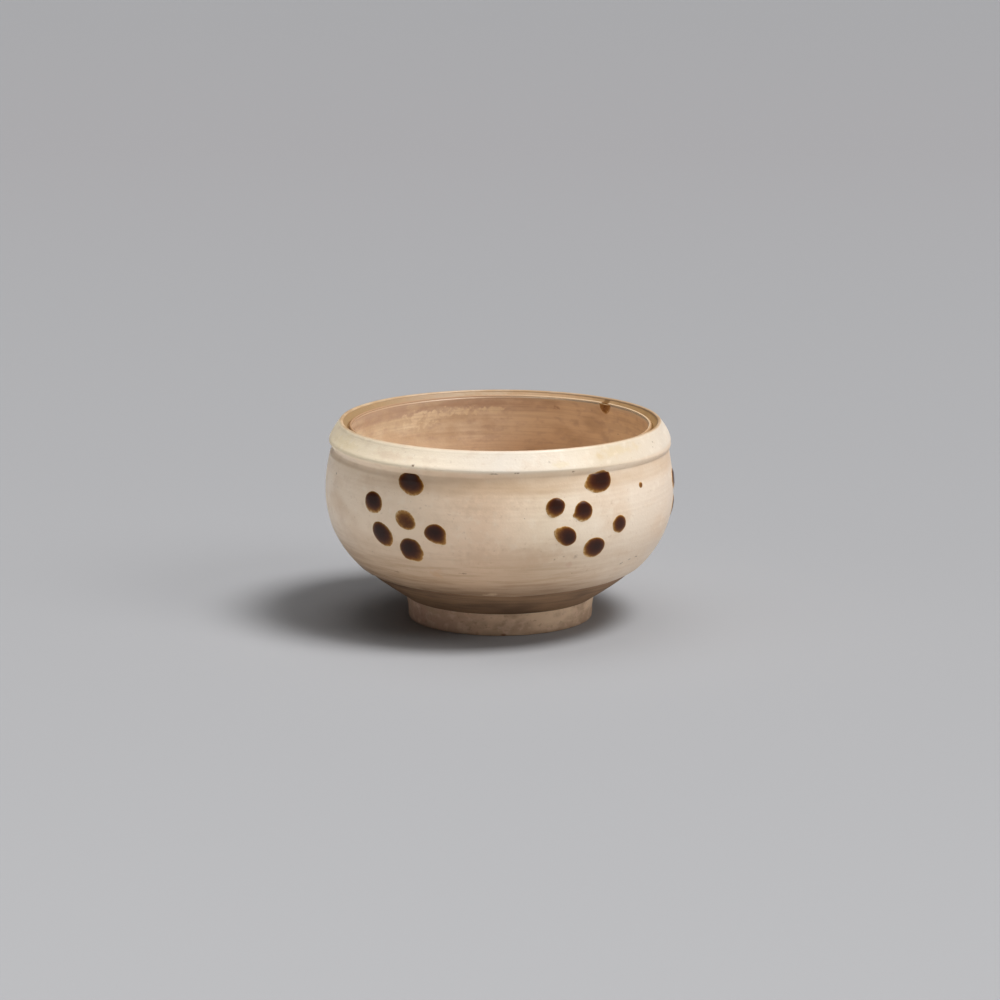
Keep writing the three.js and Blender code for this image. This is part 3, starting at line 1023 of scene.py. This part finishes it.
def foot_clay_finish():
    material, tree = new_finish("foot_clay", 0.8, 0.3)
    where = use(tree, bowl_place)
    # darker on the left and lighter on the right: painted shade and painted light on the ring's sides
    skin = shades(tree, from_left(tree, where["Across"], foot_reach), (
        (0.05, 190, 153, 132),
        (0.25, 200, 164, 140),
        (0.5, 222, 190, 160),
        (0.85, 226, 198, 168),
    ))
    skin = clouded(tree, skin, colour(188, 158, 132), 5, 0.6, 1.0)
    skin = clouded(tree, skin, colour(226, 196, 170), 2.2, 0.8, 5.0, 0.5, 0.7, 0.5)
    skin = clouded(tree, skin, colour(158, 128, 104), 1.2, 0.8, 15.0, 0.55, 0.75, 0.5)
    skin = speckled(tree, skin, colour(126, 98, 76), 0.35, Size=0.9, Share=0.35, Radius=0.16, Seed=1.0)
    # darker along its lower edge, with one brown mark in front
    skin = tinted(tree, skin, colour(140, 112, 88), 0.35, rise(tree, where["Level"], 1.1, 0.1))
    skin = patched(tree, skin, colour(128, 84, 56), 0.7, (2.0, 0.4, 2.0, 0.5))
    lines = bump(tree, wheel_marks(tree, 0.5, 2.0, 0.04), 0.07, 0.6)
    return surfaced(material, Base_Color=skin, Normal=bump(tree, grain(tree, 0.3, 6.0), 0.05, 0.8, lines))


def inner_glaze_finish():
    material, tree = new_finish("inner_glaze", 0.42, 0.4)
    where = use(tree, bowl_place)
    level, side = where["Level"], from_left(tree, where["Across"], mouth_reach)
    # duller on the left, pinkish tan over the back, warmer on the right, and darker towards the floor
    skin = shades(tree, side, (
        (0.0, 233, 212, 181),
        (0.25, 238, 219, 189),
        (0.45, 248, 230, 206),
        (0.7, 250, 228, 199),
        (1.0, 248, 222, 184),
    ))
    skin = mixed(tree, rise(tree, level, 47.0, 38.0, 0.0, 0.8), skin, colour(224, 195, 164))
    skin = mixed(tree, rise(tree, level, 38.0, 22.0, 0.0, 0.8), skin, colour(192, 160, 130))
    skin = clouded(tree, skin, colour(208, 178, 146), 6, 0.6, 7.0, 0.42, 0.7, 0.6)
    skin = clouded(tree, skin, colour(198, 168, 148), 2.4, 0.6, 17.0, 0.5, 0.72, 0.4)
    # broken grey-mauve band under the lip, with pale curls below it and one brown spot
    breaks = use(tree, clouds, Size=2.5, Level_Scale=0.5, Seed=11.0, From=0.4, To=0.62)["Mask"]
    band = times(
        tree, rise(tree, level, 49.4, 50.6), rise(tree, side, 0.75, 0.5), graded(tree, breaks, 0.4, 0.8))
    skin = mixed(tree, band, skin, colour(206, 178, 158))
    for spot in (
        (198.0, 50.2, 13.0, 1.5), (212.0, 49.6, 8.0, 2.0), (182.0, 50.4, 5.0, 1.2), (-145.0, 47.5, 6.0, 1.6),
    ):
        skin = patched(tree, skin, colour(255, 238, 208), 0.8, spot, soft=0.9, ragged=0.9, grain=1.6)
    skin = patched(tree, skin, colour(172, 132, 104), 0.6, (157.0, 51.6, 1.6, 0.8), ragged=0.6, grain=1.0)
    # the glaze thins over the lip: pale on the right as painted light over the lip's own shade, greyer on the
    # left as painted shade
    lip_tint_and_painted_shading = mixed(tree, rise(tree, side, 0.45, 0.75), colour(192, 160, 130), colour(242, 222, 194))
    skin = mixed(tree, rise(tree, level, lip_height - 1.5, lip_height - 0.7), skin, lip_tint_and_painted_shading)
    lines = wheel_marks(tree, 0.7, 5.0)
    skin = mixed(tree, rise(tree, lines, 0.45, 0.65, 0.0, 0.2), skin, colour(188, 156, 126))
    skin = speckled(tree, skin, colour(120, 84, 56), 0.4, Size=2.4, Share=0.12, Radius=0.09, Seed=22.0)
    relief = bump(tree, grain(tree, 0.9, 15.0, 0.8, 0.3), 0.04, 0.5, bump(tree, lines, 0.04, 0.5))
    return surfaced(material, Base_Color=skin, Normal=relief)


def pooled_glaze_finish():
    material, tree = new_finish("olive_glaze", 0.25)
    skin = shades(tree, from_left(tree, use(tree, bowl_place)["Across"], mouth_reach), (
        (0.0, 164, 126, 80),
        (0.3, 190, 152, 112),
        (0.6, 186, 148, 112),
        (0.8, 136, 98, 58),
        (1.0, 112, 80, 42),
    ))
    skin = clouded(tree, skin, colour(132, 96, 54), 2.5, 0.5, 3.0, 0.45, 0.7, 0.5)
    return surfaced(material, Base_Color=skin, Normal=bump(tree, grain(tree, 1.5, 8.0, 0.6), 0.05, 0.4))


def iron_dot_finish():
    """Amber where the stored depth of colour is small, and near black where it is great."""
    material, tree = new_finish("iron_dots", 0.28, 0.25)
    depth = add(tree, "ShaderNodeAttribute", attribute_name="colour_depth").outputs["Fac"]
    flow = grain(tree, 0.9, 1.0)
    iron = shades(tree, plus(tree, depth, graded(tree, flow, -0.06, 0.06)), (
        (0.0, 214, 186, 144),
        (0.06, 170, 126, 68),
        (0.2, 120, 76, 30),
        (0.36, 90, 50, 21),
        (0.6, 66, 32, 18),
        (0.95, 50, 26, 19),
    ))
    return surfaced(material, Base_Color=iron, Normal=bump(tree, flow, 0.02, 0.5))


thrown_wall(bare_clay_finish())
rim_collar(collar_clay_finish())
foot_ring(foot_clay_finish())
white_slip(white_slip_finish())
inner_glaze(inner_glaze_finish())
groove_glaze(pooled_glaze_finish())
brush_all_dots(iron_dot_finish())


# Studio

def studio_floor():
    """A pale sheet that looks grey from the camera; its grey is painted a little lighter near the camera as
    painted light.
    """
    reach = 6.0
    mesh = bpy.data.meshes.new("studio_floor")
    corners = [(-reach, -reach, 0), (reach, -reach, 0), (reach, reach, 0), (-reach, reach, 0)]
    mesh.from_pydata(corners, [], [(0, 1, 2, 3)])
    floor = bpy.data.objects.new("studio_floor", mesh)
    bpy.context.scene.collection.objects.link(floor)
    material, tree = new_finish("studio_floor", 0.9, 0.0)
    spot = add(tree, "ShaderNodeTexCoord").outputs["Object"]
    depth = add(tree, "ShaderNodeSeparateXYZ", {0: spot}).outputs[1]
    share = add(tree, "ShaderNodeMapRange", {"Value": depth, "From Min": -0.4, "From Max": 1.8}).outputs[0]
    grey = shades(tree, share, (
        (0.038, 163, 163, 165),
        (0.118, 159, 159, 161),
        (0.189, 156, 156, 158),
        (0.285, 153, 153, 155),
        (0.424, 150, 150, 152),
        (0.64, 147, 146, 148),
        (0.96, 145, 145, 147),
    ))
    path = add(tree, "ShaderNodeLightPath").outputs
    seen = reckon(tree, "MAXIMUM", path["Is Camera Ray"], path["Is Glossy Ray"])
    seen = reckon(tree, "MAXIMUM", seen, path["Is Transmission Ray"])
    mesh.materials.append(surfaced(material, Base_Color=mixed(tree, seen, (0.62, 0.6, 0.58, 1), grey)))


def studio_light():
    """One broad softbox high on the right, and weak fill from the other sides, all far away."""
    for name, azimuth, elevation, strength, angle in (
        ("softbox_lamp_right", 78, 62, 0.53, 22),
        ("softbox_lamp_high", 70, 66, 0.5, 22),
        ("fill_lamp_right", 60, 34, 0.25, 26),
        ("fill_lamp_back", 180, 70, 0.155, 40),
        ("fill_lamp_top", 0, 88, 0.08, 40),
        ("fill_lamp_left", -100, 62, 0.095, 40),
        ("fill_lamp_front", -60, 8, 0.07, 40),
    ):
        lamp = bpy.data.lights.new(name, "SUN")
        lamp.energy = strength * math.pi
        lamp.angle = math.radians(angle)
        holder = bpy.data.objects.new(name, lamp)
        bpy.context.scene.collection.objects.link(holder)
        holder.rotation_euler = (math.radians(90 - elevation), 0, math.radians(azimuth))
    world = bpy.data.worlds.new("studio")
    bpy.context.scene.world = world
    world.use_nodes = True
    sky = world.node_tree.nodes["Background"].inputs
    sky["Color"].default_value = (1, 1, 1, 1)
    sky["Strength"].default_value = 0.02


def studio_camera():
    """Stands in front, a little off the bowl's axis, and looks down on the belly."""
    pitch = math.radians(12.44)
    distance, aim_height, off_axis = 1122.5, 32.8, -0.085
    camera = bpy.data.cameras.new("camera")
    camera.lens = 144
    camera.sensor_width = 36
    camera.clip_end = 20
    holder = bpy.data.objects.new("camera", camera)
    bpy.context.scene.collection.objects.link(holder)
    holder.location = (
        off_axis * MM, -distance * math.cos(pitch) * MM, (aim_height + distance * math.sin(pitch)) * MM)
    holder.rotation_euler = (math.pi / 2 - pitch, 0, 0)
    bpy.context.scene.camera = holder


studio_floor()
studio_light()
studio_camera()
bpy.context.scene.view_settings.view_transform = "Standard"
